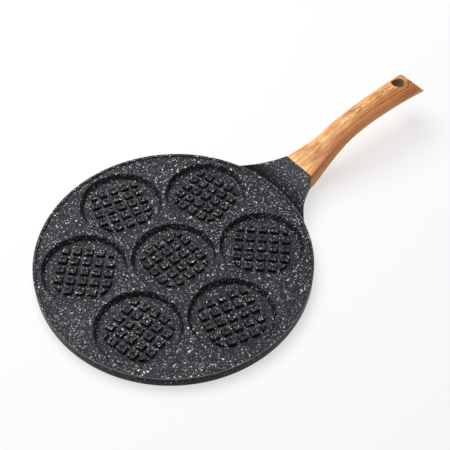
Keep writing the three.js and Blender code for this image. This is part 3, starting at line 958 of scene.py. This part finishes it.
def wood_film():
    """An arch is where field = u + slope root(b^2 + r^2) has one value, a V with a round point: b is the
    way round from the arches' middle and r the point's radius. An arc round the eye is where the
    distance from the eye's middle has one value, and on the pan's side of it the way round alone.
    Fibres and clouds are noises drawn out along the handle. The film is satin with a faint relief,
    and the eye's bore is bare brown moulding."""
    material, add, shader = new_material("phenolic, moulded, with wood-grain film")
    straight_place = add("Attribute", attribute_name="straight").outputs["Vector"]
    place = straight_place
    for waves, reach in film_waves:
        stretched = add("Mapping", {"Vector": straight_place, "Scale": waves})
        wave = add("TexNoise", {"Vector": stretched, "Scale": 1, "Detail": 2})
        centred = add("VectorMath", (wave.outputs["Color"], (0.5, 0.5, 0.5)), "SUBTRACT")
        shift = add("VectorMath", (centred, reach), "MULTIPLY")
        place = add("VectorMath", (place, shift), "ADD")
    u, y, z = add("SeparateXYZ", [place]).outputs
    turn = add("Math", (y, z), "ARCTAN2")
    around = add("Math", (turn, grip_radius), "MULTIPLY")

    off_middle = add("Math", (around, arch_middle), "SUBTRACT")
    root = root_of_sum(add, off_middle, arch_point ** 2)
    field = add("Math", (root, arch_slope, u), "MULTIPLY_ADD")
    bend = add("Math", (off_middle, root), "DIVIDE")
    lean = add("Math", (bend, arch_slope), "MULTIPLY")
    slope = root_of_sum(add, lean, 1)
    lines = 0
    for tip, leg, width, dark in arch_lines:
        fade = add("MapRange", (u, tip - leg, tip - leg * leg_clear))
        lines = with_line(add, lines, field, slope, tip + arch_slope * arch_point, width, dark, fade)

    from_eye = add("Math", (u, eye_reach / mm), "SUBTRACT")
    beyond = add("Math", (from_eye, 0), "MAXIMUM")
    short_of = add("Math", (from_eye, 0), "MINIMUM")
    beyond_square = add("Math", (beyond, beyond), "MULTIPLY")
    true_around = add("Math", (around, eye_stretch, -eye_across / mm), "MULTIPLY_ADD")
    ring = root_of_sum(add, true_around, beyond_square)
    distance = add("Math", (short_of, -leg_narrowing, ring), "MULTIPLY_ADD")
    for at, width, dark, leg in eye_arcs:
        fade = add("MapRange", (from_eye, -leg, -leg_full))
        lines = with_line(add, lines, distance, 1, at, width, dark, fade)

    fibre_place = add("Mapping", {"Vector": straight_place, "Scale": fibre_waves})
    fibres = add("TexNoise", {"Vector": fibre_place, "Scale": 1, "Detail": 4, "Roughness": 0.6})
    cloud_place = add("Mapping", {"Vector": straight_place, "Scale": cloud_waves})
    clouds = add("TexNoise", {"Vector": cloud_place, "Scale": 1, "Detail": 2})
    grain = add("Math", (fibres, fibre_contrast, -fibre_contrast / 2), "MULTIPLY_ADD")
    tone = add("Math", (clouds, cloud_contrast, grain), "MULTIPLY_ADD")
    # Painted shade: the top darkens off its middle, most on the near side, from the neck on.
    near_half = add("MapRange", (around, *near_half_shade))
    far_half = add("MapRange", (around, *far_half_shade))
    halves = add("Math", (near_half, far_half), "ADD")
    past_neck = add("MapRange", (u, *past_neck_share))
    shadier = add("Math", (halves, past_neck, tone), "MULTIPLY_ADD")
    older = add("MapRange", (u, *length_tone))
    level = add("Math", (shadier, older), "ADD")
    base = add("ValToRGB", [level])
    ramp = base.color_ramp.elements
    ramp[0].color, ramp[1].color = wood_gold, wood_dark
    for position, colour in ramp_tones:
        ramp.new(position).color = colour

    way_down = add("Math", [off_middle], "ABSOLUTE")
    side = add("MapRange", (way_down, *side_share))
    redness = add("Math", (side, side_red), "MULTIPLY")
    redder = add("Mix", (redness, base, wood_side), data_type="RGBA")
    rows = add("Math", (way_down, 1 / streak_spacing), "MULTIPLY")
    phase = add("Math", [rows], "FRACT")
    rising = add("MapRange", (phase, *streak_rise))
    falling = add("MapRange", (phase, *streak_fall))
    streak = add("Math", (rising, falling), "MULTIPLY")
    patches = add("MapRange", (clouds, *streak_clouds))
    patched = add("Math", (streak, patches), "MULTIPLY")
    streaks = add("Math", (patched, side), "MULTIPLY")
    lines = add("Math", (lines, streaks), "MAXIMUM")
    to_edge = add("MapRange", (around, *edge_tone))
    off_edge = add("MapRange", (around, *below_edge_share))
    by_edge = add("Math", (to_edge, off_edge), "MULTIPLY")
    by_neck = add("MapRange", (u, *by_neck_share))
    lines = add("Math", (by_edge, by_neck, lines), "MULTIPLY_ADD")
    lined = add("Mix", (lines, redder, wood_line), data_type="RGBA", blend_type="MULTIPLY")

    true_u, true_y, _ = add("SeparateXYZ", [straight_place]).outputs
    off_eye = add("Math", (true_u, eye_reach / mm), "SUBTRACT")
    off_line = add("Math", (true_y, eye_stretch, -eye_across / mm), "MULTIPLY_ADD")
    line_square = add("Math", (off_line, off_line), "MULTIPLY")
    off_bore = root_of_sum(add, off_eye, line_square)
    bore = add("MapRange", (off_bore, eye_radius / mm + bore_start, eye_radius / mm + bore_end, 1, 0))
    bare = add("Mix", (fibres, bare_phenolic, bare_phenolic_pale), data_type="RGBA")
    colour = add("Mix", (bore, lined, bare), data_type="RGBA")
    rough = add("MapRange", (fibres, 0, 1, *film_roughness))
    bump = add("Bump", {"Height": fibres, "Strength": 0.2, "Distance": fibre_depth})
    connect(shader, {"Base Color": colour, "Roughness": rough, "IOR": 1.4, "Normal": bump})
    return material


handle.data.materials.clear()
handle.data.materials.append(wood_film())
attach(handle, "root")
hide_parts("handle_grip")

# One zinc-plated screw holds the handle on the tang from below, with a flat washer and a split lock
# washer under its head. They are bought parts, bright and slightly blue.
zinc_blue = linear("#b4bac2")
zinc_pale = linear("#d6d8da")
zinc_cloud = 1.5 * mm
zinc_roughness = (0.25, 0.42)


def zinc_plate():
    """Clouds of a noise between two greys, which also make the plating's shine a little uneven."""
    material, add, shader = new_material("zinc-plated steel")
    place = add("TexCoord").outputs["Object"]
    cloud = add("TexNoise", {"Vector": place, "Scale": 1 / zinc_cloud, "Detail": 3})
    colour = add("Mix", (cloud, zinc_blue, zinc_pale), data_type="RGBA")
    rough = add("MapRange", (cloud, 0, 1, *zinc_roughness))
    connect(shader, {"Base Color": colour, "Metallic": 1, "Roughness": rough})
    return material


zinc = zinc_plate()
for name in ("handle_screw", "flat_washer", "spring_washer"):
    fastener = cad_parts[name]
    fastener.data.materials.clear()
    fastener.data.materials.append(zinc)

# A white board under a large soft light from above and behind, with a weak fill from all round. Part
# of what is seen of the board is its own glow, all of it from 0.9 m out, so that the pan's shadow
# stays soft and the far floor white.
floor_reach = 6
floor_drop = 0.2 * mm
glow_reach = (0.3, 0.9)
glow_share = (0.66, 1)
fill_strength = 0.125


def seen_rays(add):
    """1 for rays that the camera, a gloss or glass sees by, and 0 for those that only light the pan."""
    path = add("LightPath").outputs
    seen = add("Math", (path["Is Camera Ray"], path["Is Glossy Ray"]), "MAXIMUM")
    return add("Math", (seen, path["Is Transmission Ray"]), "MAXIMUM")


def white_board():
    """Matt white paint, mixed with its glow by the distance from the pan's middle."""
    material, add, shader = new_material("white painted board")
    connect(shader, {"Base Color": linear("#f2f2f2"), "Roughness": 0.9, "Specular IOR Level": 0})
    glow = add("Emission", {"Color": (1, 1, 1, 1), "Strength": 1})
    place = add("TexCoord").outputs["Object"]
    reach = add("VectorMath", [place], "LENGTH")
    whiteness = add("MapRange", (reach, *glow_reach, *glow_share))
    share = add("Math", (seen_rays(add), whiteness), "MULTIPLY")
    mix = add("MixShader", (share, shader, glow))
    connect(material.node_tree.nodes["Material Output"], {"Surface": mix})
    return material


x, y, z = floor_reach, floor_reach, -floor_drop
floor_mesh = bpy.data.meshes.new("floor")
floor_mesh.from_pydata([(-x, -y, z), (x, -y, z), (x, y, z), (-x, y, z)], [], [(0, 1, 2, 3)])
floor_mesh.materials.append(white_board())
floor = bpy.data.objects.new("floor", floor_mesh)
scene.collection.objects.link(floor)

world = bpy.data.worlds.new("studio")
scene.world = world
world.use_nodes = True
add_sky = partial(add_node, world.node_tree)
strength = add_sky("MapRange", (seen_rays(add_sky), 0, 1, fill_strength, 1))
connect(world.node_tree.nodes["Background"], {"Color": (1, 1, 1, 1), "Strength": strength})

lamp_view = (92, 65, 1.6)  # azimuth and elevation in degrees, and distance
lamp_aim = Vector((0.05, 0, 0))
lamp_data = bpy.data.lights.new("key", "AREA")
lamp_data.size = 1.4
lamp_data.energy = 33


def aimed(name, data, aim, azimuth, elevation, distance, roll=0):
    """A lamp or camera that looks at its aim from an azimuth and an elevation, and is rolled about
    its line of sight. All angles are in degrees."""
    a, e = math.radians(azimuth), math.radians(elevation)
    away = Vector((math.cos(e) * math.cos(a), math.cos(e) * math.sin(a), math.sin(e)))
    turn = away.to_track_quat("Z", "Y").to_matrix() @ Matrix.Rotation(math.radians(roll), 3, "Z")
    thing = bpy.data.objects.new(name, data)
    thing.location = aim + away * distance
    thing.rotation_euler = turn.to_euler()
    scene.collection.objects.link(thing)
    return thing


aimed("key", lamp_data, lamp_aim, *lamp_view)

# The camera stands where the photograph was taken from, which was worked out from the rim's ellipse
# and the seven wells: its place relative to a point on the deck, its roll and its focal length.
camera_view = (229, 50.95, 892.5 * mm, 1.16)  # azimuth, elevation, distance and roll
camera_aim = Vector((61.4 * mm, -1.1 * mm, deck_height))
frame_pixels = 450
focal_pixels = 927.42
camera_data = bpy.data.cameras.new("camera")
camera_data.sensor_width = 36
camera_data.lens = focal_pixels / frame_pixels * camera_data.sensor_width
scene.camera = aimed("camera", camera_data, camera_aim, *camera_view)
scene.view_settings.view_transform = "Standard"
